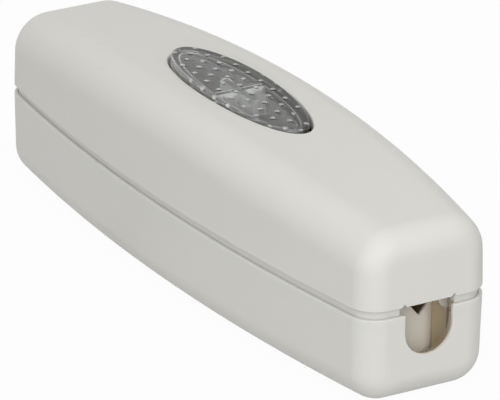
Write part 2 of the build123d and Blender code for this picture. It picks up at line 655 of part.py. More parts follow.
# Controller chip with two rows of legs
chip_y = BOARD_ROW - CHIP_LEG_REACH - CHIP_WIDTH / 2
with BuildPart() as controller_chip:
    with Locations((chip_x, chip_y, BOARD_TOP + FIT)):
        Box(CHIP_LENGTH, CHIP_WIDTH, CHIP_HEIGHT, align=UP)
    with Locations((chip_x, chip_y, BOARD_TOP)):
        with GridLocations(CHIP_LEG_PITCH, CHIP_WIDTH + CHIP_LEG_REACH, CHIP_LEGS, 2):
            Box(CHIP_LEG_WIDTH, CHIP_LEG_REACH, CHIP_LEG_HEIGHT, align=UP)
finish(controller_chip.part, "controller_chip")

# Bridge rectifier
with BuildPart() as rectifier:
    with Locations((rectifier_x, -BOARD_ROW + BRIDGE_WIDTH / 2, BOARD_TOP)):
        Box(BRIDGE_LENGTH, BRIDGE_WIDTH, BRIDGE_HEIGHT, align=UP)
    chamfer(rectifier.faces().sort_by(Axis.Z)[-1].edges(), BRIDGE_HEIGHT / 5)
finish(rectifier.part, "rectifier")

# Resistors, one row along each edge of the board
with BuildPart() as resistors:
    for side, row_x in ((-1, near_resistor_x), (1, far_resistor_x)):
        row_y = side * (BOARD_ROW - RESISTOR_RADIUS)
        with BuildSketch(Plane.YZ.offset(row_x)):
            with Locations((row_y, BOARD_TOP + RESISTOR_RADIUS)):
                Circle(RESISTOR_RADIUS - RESISTOR_WAIST)
        extrude(amount=RESISTOR_LENGTH / 2, both=True)
        for cap in (-1, 1):
            cap_x = row_x + cap * (RESISTOR_LENGTH - RESISTOR_END) / 2
            with BuildSketch(Plane.YZ.offset(cap_x)):
                with Locations((row_y, BOARD_TOP + RESISTOR_RADIUS)):
                    Circle(RESISTOR_RADIUS)
            extrude(amount=RESISTOR_END / 2, both=True)
finish(resistors.part, "resistors")

# Terminal blocks with their cages and clamp screws
cage_floor = BOARD_TOP + CAGE_SILL
for end, name in ((1, "front_terminal_block"), (-1, "rear_terminal_block")):
    with BuildPart() as terminal_block:
        with Locations((end * TERMINAL_X, 0, BOARD_TOP)):
            Box(TERMINAL_DEPTH, TERMINAL_WIDTH, TERMINAL_HEIGHT, align=UP)
        outer_top = terminal_block.edges().filter_by(Axis.Y).group_by(Axis.Z)[-1].sort_by(Axis.X)
        chamfer(outer_top[-1] if end > 0 else outer_top[0], TERMINAL_CHAMFER)
        mouth_x = end * (TERMINAL_X + TERMINAL_DEPTH / 2)
        mouth_align = (Align.MAX if end > 0 else Align.MIN, Align.CENTER, Align.MIN)
        with Locations(*[(mouth_x, y, cage_floor) for x, y in terminal_poles(end)]):
            Box(
                CAGE_DEPTH + FIT,
                CAGE_WIDTH + 2 * FIT,
                CAGE_HEIGHT + FIT,
                align=mouth_align,
                mode=Mode.SUBTRACT,
            )
        with Locations(*[(x, y, cage_floor) for x, y in terminal_poles(end)]):
            Cylinder(CLAMP_SCREW_RADIUS + FIT, TERMINAL_HEIGHT, align=UP, mode=Mode.SUBTRACT)
    finish(terminal_block.part, name)

cage_middle = TERMINAL_X + TERMINAL_DEPTH / 2 - CAGE_DEPTH / 2
with BuildPart() as terminal_cages:
    for end in ENDS:
        with Locations(*[(end * cage_middle, y, cage_floor) for x, y in terminal_poles(end)]):
            Box(CAGE_DEPTH, CAGE_WIDTH, CAGE_HEIGHT, align=UP)
        with BuildSketch(end_plane(end, 0)):
            with Locations(*[(y, cage_floor + CAGE_HEIGHT / 2) for x, y in terminal_poles(end)]):
                Circle(WIRE_RADIUS)
        extrude(amount=-LENGTH / 2, mode=Mode.SUBTRACT)
        with Locations(*[(x, y, cage_floor + CAGE_HEIGHT / 2) for x, y in terminal_poles(end)]):
            Cylinder(CLAMP_SCREW_RADIUS, CAGE_HEIGHT, align=UP, mode=Mode.SUBTRACT)
finish(terminal_cages.part, "terminal_cages")

clamp_screw_top = BOARD_TOP + TERMINAL_HEIGHT - CLAMP_SCREW_RECESS
clamp_screw_tip = cage_floor + CAGE_HEIGHT / 2 + WIRE_RADIUS
with BuildPart() as terminal_screws:
    for end in ENDS:
        with Locations(*[(x, y, clamp_screw_tip) for x, y in terminal_poles(end)]):
            Cylinder(CLAMP_SCREW_RADIUS, clamp_screw_top - clamp_screw_tip, align=UP)
        with Locations(*[(x, y, clamp_screw_top) for x, y in terminal_poles(end)]):
            Box(
                2 * CLAMP_SCREW_RADIUS,
                CLAMP_SCREW_SLOT,
                CLAMP_SCREW_SLOT_DEPTH,
                align=DOWN,
                mode=Mode.SUBTRACT,
            )
finish(terminal_screws.part, "terminal_screws")
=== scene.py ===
"""Inline cord dimmer: fine skins, finishes, small parts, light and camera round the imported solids."""

from __future__ import annotations

import json
import logging
from dataclasses import dataclass, field
from enum import Enum
from math import cos, pi, radians, sin, tan
from typing import Any, Callable

import bpy
import numpy as np
from mathutils import Matrix, Vector

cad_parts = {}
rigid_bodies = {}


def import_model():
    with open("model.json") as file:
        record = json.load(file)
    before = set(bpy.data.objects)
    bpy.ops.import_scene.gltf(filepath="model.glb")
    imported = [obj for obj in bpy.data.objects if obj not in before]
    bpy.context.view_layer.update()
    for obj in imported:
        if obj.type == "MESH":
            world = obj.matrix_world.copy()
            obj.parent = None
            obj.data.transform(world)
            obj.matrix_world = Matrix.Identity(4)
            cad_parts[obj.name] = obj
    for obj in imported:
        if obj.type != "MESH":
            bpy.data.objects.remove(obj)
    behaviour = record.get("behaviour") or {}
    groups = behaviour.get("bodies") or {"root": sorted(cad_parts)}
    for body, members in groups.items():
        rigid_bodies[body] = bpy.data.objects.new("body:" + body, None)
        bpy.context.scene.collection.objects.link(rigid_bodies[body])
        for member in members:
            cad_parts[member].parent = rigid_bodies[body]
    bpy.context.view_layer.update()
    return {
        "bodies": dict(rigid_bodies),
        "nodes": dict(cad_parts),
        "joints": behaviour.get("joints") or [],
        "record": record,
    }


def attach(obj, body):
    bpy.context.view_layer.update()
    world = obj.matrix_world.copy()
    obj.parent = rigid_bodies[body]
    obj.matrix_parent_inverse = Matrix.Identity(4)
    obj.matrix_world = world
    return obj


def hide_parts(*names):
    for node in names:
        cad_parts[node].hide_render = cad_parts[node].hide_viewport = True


LOG = logging.getLogger("dimmer")
FRAME: dict[str, Any] = {}
Array = np.ndarray
Pair = tuple[float, float]
Triple = tuple[float, float, float]
Place = tuple["Sock", "Sock", "Sock"]
Reading = tuple[Array, Array]
Form = Callable[[Array], Reading]

# One millimetre in metres, and a length too small to divide by
MM = 0.001
TINY = 1e-12

# Plain colours and an even stretch
BLACK = (0.0, 0.0, 0.0)
WHITE = (1.0, 1.0, 1.0)
EVEN = (1.0, 1.0, 1.0)

# The ranges that noise mostly keeps to and that a sine swings over
NOISE_BAND = (0.3, 0.7)
WAVE_BAND = (-1.0, 1.0)

# How points are joined, where edges stay sharp, and how near its form a skin takes the form's curve
JOIN_DIGITS = 4
SHARP_ANGLE = radians(32)
SKIN_REACH = 0.03
SKIN_AGREEMENT = 0.85

# Sizes that two classes share, in millimetres and radians
HOUSING_TOP = 27.2
CAP_HALF = (16.55, 5.18)
CAP_TIP = radians(1.9)
DOT_PITCH = 3.3


def linear(red: int, green: int, blue: int) -> Triple:
    """Turn a screen colour, from 0 to 255, into the linear one from 0 to 1 that shaders use."""
    parts = [value / 255 for value in (red, green, blue)]
    return tuple(p / 12.92 if p <= 0.04045 else ((p + 0.055) / 1.055) ** 2.4 for p in parts)


def shade_of(colour: Triple, factor: float) -> Triple:
    """A colour made darker or lighter by a factor."""
    return tuple(min(1.0, value * factor) for value in colour)


class Body(Enum):
    """The bodies that new pieces ride on."""

    HOUSING = "housing"
    BUTTON = "button"


class Sock:
    """A shader socket that takes part in Python expressions."""

    def __init__(self, net: Net, socket: bpy.types.NodeSocket | None) -> None:
        """Hold a socket and the net that it belongs to."""
        self.net = net
        self.socket = socket

    def math(self, operation: str, *values: Any) -> Sock:
        """Add a Math node that works on the values in order."""
        return self.net.node("ShaderNodeMath", {"operation": operation}, dict(enumerate(values)))

    def __add__(self, other: Any) -> Sock:
        """Sum."""
        return self.math("ADD", self, other)

    __radd__ = __add__

    def __sub__(self, other: Any) -> Sock:
        """Difference."""
        return self.math("SUBTRACT", self, other)

    def __rsub__(self, other: Any) -> Sock:
        """Difference from a plain number."""
        return self.math("SUBTRACT", other, self)

    def __mul__(self, other: Any) -> Sock:
        """Product."""
        return self.math("MULTIPLY", self, other)

    __rmul__ = __mul__

    def __truediv__(self, other: Any) -> Sock:
        """Quotient."""
        return self.math("DIVIDE", self, other)

    def __gt__(self, other: Any) -> Sock:
        """One where this is the greater, else nought."""
        return self.math("GREATER_THAN", self, other)

    def __lt__(self, other: Any) -> Sock:
        """One where this is the lesser, else nought."""
        return self.math("LESS_THAN", self, other)

    def __abs__(self) -> Sock:
        """Size without its sign."""
        return self.math("ABSOLUTE", self)

    def wave(self) -> Sock:
        """Sine of the value."""
        return self.math("SINE", self)

    def stray(self) -> Sock:
        """How far the value is from the nearest whole number."""
        return abs(self - self.math("ROUND", self))

    def larger(self, other: Any) -> Sock:
        """The larger of two values."""
        return self.math("MAXIMUM", self, other)

    def smaller(self, other: Any) -> Sock:
        """The smaller of two values."""
        return self.math("MINIMUM", self, other)

    def spread(self, low: float, high: float, to_low: float = 0.0, to_high: float = 1.0) -> Sock:
        """Carry a range smoothly and clamped onto another one."""
        inputs = {0: self, 1: low, 2: high, 3: to_low, 4: to_high}
        return self.net.node("ShaderNodeMapRange", {"interpolation_type": "SMOOTHSTEP"}, inputs)


@dataclass(frozen=True)
class Noise:
    """A noise: patches to the millimetre, how finely they break up, and a stretch along each axis."""

    scale: float
    detail: float = 2.0
    stretch: Triple = EVEN


class Net:
    """A node net, of a material or of the world."""

    def __init__(self, tree: bpy.types.NodeTree) -> None:
        """Take a tree over and empty it."""
        self.tree = tree
        self.tree.nodes.clear()

    def node(
        self,
        kind: str,
        settings: dict[str, Any] | None = None,
        inputs: dict[Any, Any] | None = None,
        output: int | str = 0,
    ) -> Sock:
        """Add a node.

        Args:
            kind: the node's type.
            settings: its own properties.
            inputs: values or links for its sockets, by name or number.
            output: the socket to hand back.

        Returns:
            The chosen output, which is empty where the node has none.
        """
        made = self.tree.nodes.new(kind)
        for key, value in (settings or {}).items():
            setattr(made, key, value)
        for key, value in (inputs or {}).items():
            socket = made.inputs[key]
            if isinstance(value, Sock):
                self.tree.links.new(value.socket, socket)
            elif socket.type == "RGBA":
                socket.default_value = (*value, 1.0)
            else:
                socket.default_value = value
        return Sock(self, made.outputs[output] if made.outputs else None)

    def place(self, stretch: Triple) -> Sock:
        """Object coordinates in millimetres, stretched along each axis.

        Args:
            stretch: a factor for each axis.

        Returns:
            The stretched coordinates.
        """
        here = self.node("ShaderNodeTexCoord", output="Object")
        inputs = {0: here, 1: tuple(value / MM for value in stretch)}
        return self.node("ShaderNodeVectorMath", {"operation": "MULTIPLY"}, inputs)

    def axes(self) -> Place:
        """The three object coordinates in millimetres."""
        here = self.place(EVEN)
        return tuple(self.node("ShaderNodeSeparateXYZ", None, {0: here}, axis) for axis in "XYZ")

    def noise(self, noise: Noise) -> Sock:
        """Noise from nought to one."""
        inputs = {"Vector": self.place(noise.stretch), "Scale": noise.scale, "Detail": noise.detail}
        return self.node("ShaderNodeTexNoise", None, inputs, "Fac")

    def seen(self) -> Sock:
        """Tell rays that show the backdrop, straight, reflected or through clear plastic, from others.

        Returns:
            One for those rays, else nought.
        """
        kinds = ("Is Camera Ray", "Is Glossy Ray", "Is Transmission Ray")
        straight, glossy, through = (self.node("ShaderNodeLightPath", output=kind) for kind in kinds)
        return straight.larger(glossy).larger(through)

    def mix(self, factor: Sock, first: Any, second: Any) -> Sock:
        """Blend two colours."""
        return self.node("ShaderNodeMix", {"data_type": "RGBA"}, {0: factor, 6: first, 7: second}, 2)

    def blend(self, factor: Sock, first: Sock, second: Sock) -> Sock:
        """Blend two shaders."""
        return self.node("ShaderNodeMixShader", None, {0: factor, 1: first, 2: second})

    def bump(self, height: Sock, distance: float) -> Sock:
        """A normal bent by a height, whose full swing is distance in millimetres."""
        return self.node("ShaderNodeBump", None, {"Height": height, "Distance": distance * MM}, "Normal")

    def surface(self, **inputs: Any) -> Sock:
        """A principled surface, whose sockets are named with low lines for spaces."""
        named = {key.replace("_", " "): value for key, value in inputs.items()}
        return self.node("ShaderNodeBsdfPrincipled", None, named)

    def close(self, shader: Sock, kind: str = "ShaderNodeOutputMaterial") -> None:
        """Link a shader to the net's output."""
        self.node(kind, None, {"Surface": shader})


@dataclass(frozen=True)
class Finish:
    """What every finish has: name, colour, roughness, how far that strays, and a way to a material."""

    name: str
    colour: Triple
    roughness: float
    wear: Pair = (0.0, 0.0)

    def toned(self, net: Net, pattern: Sock, low: float, high: float = 1.0) -> Sock:
        """The colour times a factor that a pattern takes from low to high."""
        return net.mix(pattern, shade_of(self.colour, low), shade_of(self.colour, high))

    def worn(self, pattern: Sock, band: Pair = NOISE_BAND) -> Sock:
        """The roughness and what a pattern, over its band, adds to it."""
        low, high = self.wear
        return pattern.spread(*band, self.roughness + low, self.roughness + high)

    def shade(self, net: Net) -> Sock:
        """The finish's shader."""
        raise NotImplementedError

    def material(self) -> bpy.types.Material:
        """Make the finish's material once, and then share it.

        Returns:
            The material.
        """
        made = bpy.data.materials.get(self.name)
        if made is None:
            made = bpy.data.materials.new(self.name)
            made.use_nodes = True
            net = Net(made.node_tree)
            net.close(self.shade(net))
        return made


@dataclass(frozen=True)
class Moulded(Finish):
    """Injection-moulded plastic: an even colour with faint flow marks and a fine eroded grain."""

    wear: Pair = (-0.03, 0.03)
    mottle: float = 0.02
    flow: Noise = Noise(0.05, 3.0, (1.0, 2.0, 2.0))
    fine: Noise = Noise(5.0, 3.0)
    grain: float = 0.004
    shine: float = 0.5
    depth: float = 0.0
    scatter: Triple = (1.0, 0.75, 0.5)
    scatter_scale: float = 1.5
    glow: float = 0.0

    def coat(self, net: Net) -> Sock:
        """The colour and its flow marks."""
        return self.toned(net, net.noise(self.flow), 1 - self.mottle, 1 + self.mottle)

    def lamp_light_and_painted_glow(self, net: Net) -> Triple | Sock:
        """The colour of the glow."""
        return self.colour

    def shade(self, net: Net) -> Sock:
        """Plastic that lets a little light in, with a fine grain.

        Args:
            net: the net to add to.

        Returns:
            The shader.
        """
        fine = net.noise(self.fine)
        return net.surface(
            Base_Color=self.coat(net),
            Roughness=self.worn(fine),
            Specular_IOR_Level=self.shine,
            Subsurface_Weight=self.depth,
            Subsurface_Radius=self.scatter,
            Subsurface_Scale=self.scatter_scale * MM,
            # Emission: the locator lamp's own light, and a painted glow inside the housing's ends
            Emission_Color=self.lamp_light_and_painted_glow(net),
            Emission_Strength=self.glow,
            Normal=net.bump(fine, self.grain),
        )


@dataclass(frozen=True)
class Shell(Moulded):
    """The housing's plastic, with painted shade, painted highlights and a painted glow inside its ends.

    Sizes are in millimetres, the same for both ends. Room and hollow are blocks with a half length, a
    half width and a top. The lip has a half length, a radius and a rise over the inlet's axis, and the
    notch a foot and a slope. The other pairs are bands with a start and an end.
    """

    floor: float = 2.0
    room: Triple = (46.8, 7.0, 22.0)
    hollow: Triple = (48.22, 4.4, 12.8)
    axis: float = 10.24
    lip: Triple = (48.85, 3.8, 1.0)
    # Over this rise the pocket's painted shade grows darker towards the bottom
    sill: Pair = (-3.2, 0.2)
    # The band along each end where the painted glow lies
    painted_glow_band: Pair = (36.0, 43.4)
    # Where the grip's painted shade gives way to the room's painted light
    grip: Pair = (43.0, 43.6)
    flank: Pair = (1.2, 2.6)
    flank_end: float = 3.26
    notch: Pair = (11.0, 2.0 / 1.7)
    notch_half: float = 2.0
    notch_margin: float = 0.03
    # Where the notch's painted shadow gives way to its painted highlight at the front
    groove: Pair = (45.9, 46.5)
    # Painted shade on the grip's face
    face: Triple = linear(196, 189, 178)
    # Painted warm light on the grip's turned edge, against the shade of its curve
    turn: Triple = linear(208, 195, 172)
    # Painted light: a bright warm tone for the room inside each end
    painted_room_light: Triple = linear(255, 240, 214)
    # Painted highlight on the front of each grip's notch
    pale: Triple = linear(236, 234, 228)
    # Painted shade on each inlet's lip
    edge: Triple = linear(206, 201, 190)
    # Painted shade in the pocket behind each inlet
    painted_pocket_shade: Triple = linear(188, 175, 154)
    # Painted shade at the pocket's bottom
    under: Triple = linear(142, 130, 108)
    # Painted shadow deep in each grip's notch
    painted_notch_shadow: Triple = linear(104, 86, 60)
    # Colour of the painted glow in the room inside each end
    painted_glow_colour: Triple = (1.0, 0.68, 0.3)

    def block(self, place: Place, size: Triple) -> Sock:
        """One inside a block that stands on the floor, else nought."""
        x, y, z = place
        return (abs(x) < size[0]) * (abs(y) < size[1]) * (z < size[2]) * (z > self.floor)

    def coat(self, net: Net) -> Sock:
        """The colour and its flow marks, with painted shade and light on each inlet's lip, pocket, grip,
        notch and room.

        Args:
            net: the net to add to.

        Returns:
            The colour.
        """
        place = net.axes()
        x, y, z = place
        rise = z - self.axis
        lip_end, lip_radius, lip_rise = self.lip
        thin = (y * y + rise * rise < lip_radius**2) * (rise < lip_rise) * (abs(x) < lip_end)
        foot, slope = self.notch
        cut = (z - abs(y) * slope > foot - self.notch_margin) * (abs(y) < self.notch_half)
        # Painted shadow deep in the notch, painted highlight at its front
        groove = net.mix(abs(x).spread(*self.groove), self.painted_notch_shadow, self.pale)
        across = y * ((x > 0.0) * 2.0 - 1.0)
        # Where the turned edge's painted warm light takes over from the face's painted shade
        flank = across.spread(*self.flank) * (across < self.flank_end)
        # The grip carries painted shade on its face, painted warm light on its turned edge and, in its
        # notch, a painted shadow and highlight
        grip = net.mix(cut, net.mix(flank, self.face, self.turn), groove)
        # Painted light in the room, painted shade and highlight on the grip
        painted_room_and_grip = net.mix(abs(x).spread(*self.grip), self.painted_room_light, grip)
        # Painted shade in the pocket, darker towards the bottom
        deep = net.mix(rise.spread(*self.sill), self.under, self.painted_pocket_shade)
        # Painted shade on the inlet's lip
        skin = net.mix(thin, super().coat(net), self.edge)
        mouth = net.mix(self.block(place, self.hollow), skin, deep)
        return net.mix(self.block(place, self.room), mouth, painted_room_and_grip)

    def lamp_light_and_painted_glow(self, net: Net) -> Sock:
        """A painted warm glow on the room inside each end, in place of light coming through the walls.

        Args:
            net: the net to add to.

        Returns:
            The painted glow's colour, which is black elsewhere.
        """
        place = net.axes()
        start, end = self.painted_glow_band
        inside = self.block(place, (end, *self.room[1:])) * (abs(place[0]) > start)
        return net.mix(inside, BLACK, self.painted_glow_colour)


@dataclass(frozen=True)
class ClearCap(Finish):
    """Clear, faintly smoky plastic, polished on its faces and frosted on dots, inner corner and pusher.

    Sizes are in millimetres, and levels are measured upright to the tipped cap. A share says how far a
    place is frosted and a blur what it adds to the roughness. The bands of wall, corner and skin are in
    squared shares of an oval's half sizes, and the turn is where the near side goes over to the far one.
    The wall band carries painted shade, slight on the near side and heavy on the far one, the skin's
    frost lies on the near side alone as a painted sheen, and a band of the pusher's cross rib glows with
    painted glints.
    """

    wear: Pair = (0.0, 0.02)
    bend: float = 1.49
    gloss: Triple = (0.45, 0.45, 0.45)
    haze: Noise = Noise(0.6)
    haze_band: Pair = (0.3, 0.8)
    frost: Triple = (0.86, 0.87, 0.86)
    frost_roughness: float = 0.5
    top: float = 27.78
    under: float = 25.98
    margin: float = 0.02
    pitch: float = DOT_PITCH
    dot: float = 0.38
    dot_depth: float = 0.45
    dot_share: float = 0.36
    dot_blur: float = 0.2
    rib: float = 0.5
    rib_reach: float = 4.05
    rib_share: float = 0.6
    rib_blur: float = 0.25
    # Painted glints: a band of the pusher's cross rib that glows, with its span across, its depths and its
    # glow
    painted_glint_band: Pair = (0.7, 3.55)
    painted_glint_depth: Pair = (0.6, 0.9)
    painted_glint_strength: float = 0.5
    inner: Pair = (15.35, 3.98)
    # The band of the inner wall that carries painted shade
    wall: Pair = (0.9, 1.1)
    corner: Pair = (0.78, 1.03)
    corner_depth: float = 0.42
    corner_share: float = 0.5
    outer: Pair = CAP_HALF
    # The outer rim band, whose frost on the near side alone is a painted sheen
    skin: Pair = (0.9, 0.97)
    skin_share: float = 0.17
    turn: Pair = (-1.0, 1.0)
    # Painted shade on the cap's inner wall band, slight on the near side and heavy on the far one
    painted_near_wall_shade: Triple = linear(205, 207, 205)
    painted_far_wall_shade: Triple = linear(88, 88, 82)

    def out(self, x: Sock, y: Sock, half: Pair) -> Sock:
        """How far out in an oval a place is, squared: nought in its middle and one on its edge."""
        u, v = x / half[0], y / half[1]
        return u * u + v * v

    def dots(self, x: Sock, y: Sock) -> Sock:
        """Find the dots, which stand on two square grids, half a pitch apart both ways.

        Args:
            x: the place along the cap.
            y: the place across it.

        Returns:
            One on a dot, else nought.
        """
        u, v = x / self.pitch, y / self.pitch
        square = u.stray() * u.stray() + v.stray() * v.stray()
        u, v = u + 0.5, v + 0.5
        square = square.smaller(u.stray() * u.stray() + v.stray() * v.stray())
        return square < (self.dot / self.pitch) ** 2

    def shade(self, net: Net) -> Sock:
        """Clear plastic with painted shade on its wall, and frosted plastic laid over it where the cap is
        frosted, with painted sheen and glints.

        Args:
            net: the net to add to.

        Returns:
            The shader.
        """
        x, y, z = net.axes()
        level = z + x * tan(CAP_TIP)
        below = level < self.under - self.margin
        dots = self.dots(x, y) * (level > self.top - self.dot_depth)
        along = (abs(x) < self.rib_reach) * (abs(y) < self.rib)
        across = (abs(y) < self.rib_reach) * (abs(x) < self.rib)
        ribs = along.larger(across) * below
        # Painted glints: a band of the cross rib glows, deeper on its far half
        near, further = self.painted_glint_depth
        deep = level > self.under - near - (x < 0.0) * further
        painted_glint_band = across * (abs(y) > self.painted_glint_band[0]) * (abs(y) < self.painted_glint_band[1]) * below * deep
        out = self.out(x, y, self.inner)
        rolled = (out > self.corner[0]) * (out < self.corner[1])
        corner = rolled * (level > self.under - self.corner_depth) * below
        # Painted sheen: frost on the outer rim of the near side alone
        skin = self.out(x, y, self.outer).spread(*self.skin) * y.spread(*self.turn, self.skin_share, 0.0)
        # Painted shade on the inner wall band, slight on the near side and heavy on the far one
        rim = net.mix(y.spread(*self.turn), self.painted_near_wall_shade, self.painted_far_wall_shade)
        haze = self.worn(net.noise(self.haze), self.haze_band)
        clear = net.surface(
            Base_Color=net.mix(out.spread(*self.wall), self.colour, rim),
            Roughness=haze + dots * self.dot_blur + ribs * self.rib_blur,
            IOR=self.bend,
            Specular_Tint=self.gloss,
            Transmission_Weight=1.0,
        )
        frost = net.surface(
            Base_Color=self.frost,
            Roughness=self.frost_roughness,
            # The painted glints glow in the frost's colour
            Emission_Color=net.mix(painted_glint_band, BLACK, self.frost),
            Emission_Strength=self.painted_glint_strength,
        )
        frosted = dots * self.dot_share + ribs * self.rib_share + corner * self.corner_share + skin
        return net.blend(frosted, clear, frost)


@dataclass(frozen=True)
class Patterned(Finish):
    """A finish whose colour, roughness and height follow one pattern."""

    pattern: Noise = Noise(1.0)
    tones: Pair = (1.0, 1.0)
    relief: float = 0.0
    metal: float = 0.0

    def shade(self, net: Net) -> Sock:
        """One surface, led by the pattern.

        Args:
            net: the net to add to.

        Returns:
            The shader.
        """
        pattern = net.noise(self.pattern)
        return net.surface(
            Base_Color=self.toned(net, pattern, *self.tones),
            Metallic=self.metal,
            Roughness=self.worn(pattern),
            Normal=net.bump(pattern, self.relief),
        )


@dataclass(frozen=True)
class Plated(Patterned):
    """Bare or plated metal with fine marks drawn along one axis."""

    wear: Pair = (-0.06, 0.08)
    pattern: Noise = Noise(4.0, 4.0, (0.2, 3.0, 3.0))
    tones: Pair = (0.8, 1.0)
    relief: float = 0.01
    metal: float = 1.0


@dataclass(frozen=True)
class Dipped(Patterned):
    """A cured resin dip: glossy, uneven in thickness, paler where it runs thin."""

    wear: Pair = (0.0, 0.15)
    pattern: Noise = Noise(0.5)
    tones: Pair = (0.85, 1.1)
    relief: float = 0.15


@dataclass(frozen=True)
class Laminate(Finish):
    """Glass-cloth board under a coat of lacquer that shows the tracks, with bare cut edges."""

    wear: Pair = (0.0, 0.1)
    half_length: float = 36.1
    margin: float = 0.02
    edge: Triple = linear(190, 180, 130)
    pitch: float = 2.54
    track: float = 0.16
    track_tone: float = 1.5
    drift: Noise = Noise(0.12, 1.0)
    drift_reach: float = 1.6
    breaks: Noise = Noise(0.2, 1.0, (0.4, 1.0, 1.0))
    break_level: float = 0.48
    threads: float = 9.0
    thread_relief: float = 0.2
    relief: float = 0.035

    def shade(self, net: Net) -> Sock:
        """Lacquer over tracks that wander and break off, on a fine weave.

        Args:
            net: the net to add to.

        Returns:
            The shader.
        """
        x, y, _ = net.axes()
        lanes = (y / self.pitch + net.noise(self.drift) * self.drift_reach).stray()
        tracks = (lanes < self.track) * (net.noise(self.breaks) > self.break_level)
        weave = (x * self.threads).wave() * (y * self.threads).wave()
        lacquer = self.toned(net, tracks, 1.0, self.track_tone)
        cut = abs(x) > self.half_length - self.margin
        return net.surface(
            Base_Color=net.mix(cut, lacquer, self.edge),
            Roughness=self.worn(weave, WAVE_BAND),
            Normal=net.bump(tracks + weave * self.thread_relief, self.relief),
        )


@dataclass(frozen=True)
class Sleeved(Finish):
    """A can in a shrunk sleeve with one pale stripe, bare metal showing on its scored top."""

    wear: Pair = (0.0, 0.1)
    middle: Pair = (-16.65, 4.24)
    radius: float = 4.0
    top: float = 18.9
    margin: float = 0.06
    fold: float = 0.7
    score: float = 0.12
    stripe_share: float = 0.82
    stripe: Triple = linear(150, 156, 160)
    metal: Triple = linear(200, 201, 204)
    metal_blur: float = 0.1
    wrinkle: Noise = Noise(1.5, 2.0, (1.0, 1.0, 0.2))
    wrinkle_relief: float = 0.2
    relief: float = 0.12

    def shade(self, net: Net) -> Sock:
        """The sleeve, folded over the rim of a bare top with a cross in it.

        Args:
            net: the net to add to.

        Returns:
            The shader.
        """
        x, y, z = net.axes()
        u, v = x - self.middle[0], y - self.middle[1]
        bare = (z > self.top - self.margin) * (u * u + v * v < (self.radius - self.fold) ** 2)
        stripe = (v < -self.stripe_share * self.radius) * (1.0 - bare)
        score = (abs(u) < self.score).larger(abs(v) < self.score) * bare
        sleeve = net.mix(stripe, self.colour, self.stripe)
        wrinkle = net.noise(self.wrinkle)
        return net.surface(
            Base_Color=net.mix(bare, sleeve, self.metal),
            Metallic=bare,
            Roughness=bare * self.metal_blur + self.worn(wrinkle),
            Normal=net.bump(wrinkle * self.wrinkle_relief - score, self.relief),
        )


@dataclass(frozen=True)
class Banded(Finish):
    """A lacquered resistor body with coloured rings round it."""

    wear: Pair = (0.0, 0.12)
    middles: Pair = (-8.1, -7.9)
    ring_half: float = 0.3
    rings: tuple[tuple[float, Triple], ...] = (
        (-1.9, linear(120, 70, 30)),
        (-0.75, linear(30, 30, 30)),
        (0.1, linear(180, 60, 40)),
        (1.9, linear(190, 150, 70)),
    )
    patches: Noise = Noise(0.8)
    dark: float = 0.9
    gloss: Noise = Noise(1.2)
    relief: float = 0.03

    def shade(self, net: Net) -> Sock:
        """Lacquer in faint patches, with each ring laid over it in turn.

        Args:
            net: the net to add to.

        Returns:
            The shader.
        """
        x, y, _ = net.axes()
        near, far = self.middles
        along = x - near - (y > 0.0) * (far - near)
        coat = self.toned(net, net.noise(self.patches), self.dark)
        for spot, colour in self.rings:
            coat = net.mix(abs(along - spot) < self.ring_half, coat, colour)
        gloss = net.noise(self.gloss)
        return net.surface(
            Base_Color=coat,
            Roughness=self.worn(gloss),
            Normal=net.bump(gloss, self.relief),
        )


@dataclass(frozen=True)
class PaleFloor(Finish):
    """A matt floor that glows most of the way to white where it is seen, so that the shadow stays faint."""

    patches: Noise = Noise(0.01)
    drift: float = 0.005
    glow: float = 0.965

    def shade(self, net: Net) -> Sock:
        """The matt floor under its glow.

        Args:
            net: the net to add to.

        Returns:
            The shader.
        """
        low, high = self.colour[0] - self.drift, self.colour[0] + self.drift
        tone = net.noise(self.patches).spread(0.0, 1.0, low, high)
        grey = net.mix(tone, BLACK, WHITE)
        matt = net.node("ShaderNodeBsdfDiffuse", None, {"Color": grey, "Roughness": self.roughness})
        light = net.node("ShaderNodeEmission", None, {"Color": WHITE, "Strength": 1.0})
        return net.blend(net.seen() * self.glow, matt, light)


@dataclass
class Mesh:
    """Points in millimetres and the faces that join them."""

    points: Array
    faces: Array


def put_in(name: str, mesh: Mesh, finish: Finish, body: Body) -> bpy.types.Object:
    """Make an object from a mesh and set it on a body.

    Args:
        name: the piece's name.
        mesh: its points and faces.
        finish: what it is finished in.
        body: the body that it rides on.

    Returns:
        The new object.
    """
    data = bpy.data.meshes.new(name)
    data.from_pydata((mesh.points * MM).tolist(), [], mesh.faces.tolist())
    data.validate()
    piece = bpy.data.objects.new(name, data)
    bpy.context.scene.collection.objects.link(piece)
    data.materials.append(finish.material())
    data.shade_smooth()
    data.set_sharp_from_angle(angle=SHARP_ANGLE)
    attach(piece, body.value)
    LOG.info("%s: %d points", name, len(mesh.points))
    return piece


def joined(points: Array, faces: Array) -> Mesh:
    """Join points that fall together and drop the faces that close up.

    Args:
        points: places in millimetres.
        faces: rows of three or four point numbers.

    Returns:
        The joined mesh, in triangles.
    """
    if faces.shape[1] == 4:
        faces = np.vstack((faces[:, (0, 1, 2)], faces[:, (0, 2, 3)]))
    near = np.round(points, JOIN_DIGITS)
    _, first, place = np.unique(near, axis=0, return_index=True, return_inverse=True)
    faces = place.ravel()[faces]
    whole = (faces[:, 0] != faces[:, 1]) & (faces[:, 1] != faces[:, 2]) & (faces[:, 2] != faces[:, 0])
    return Mesh(points[first], faces[whole])


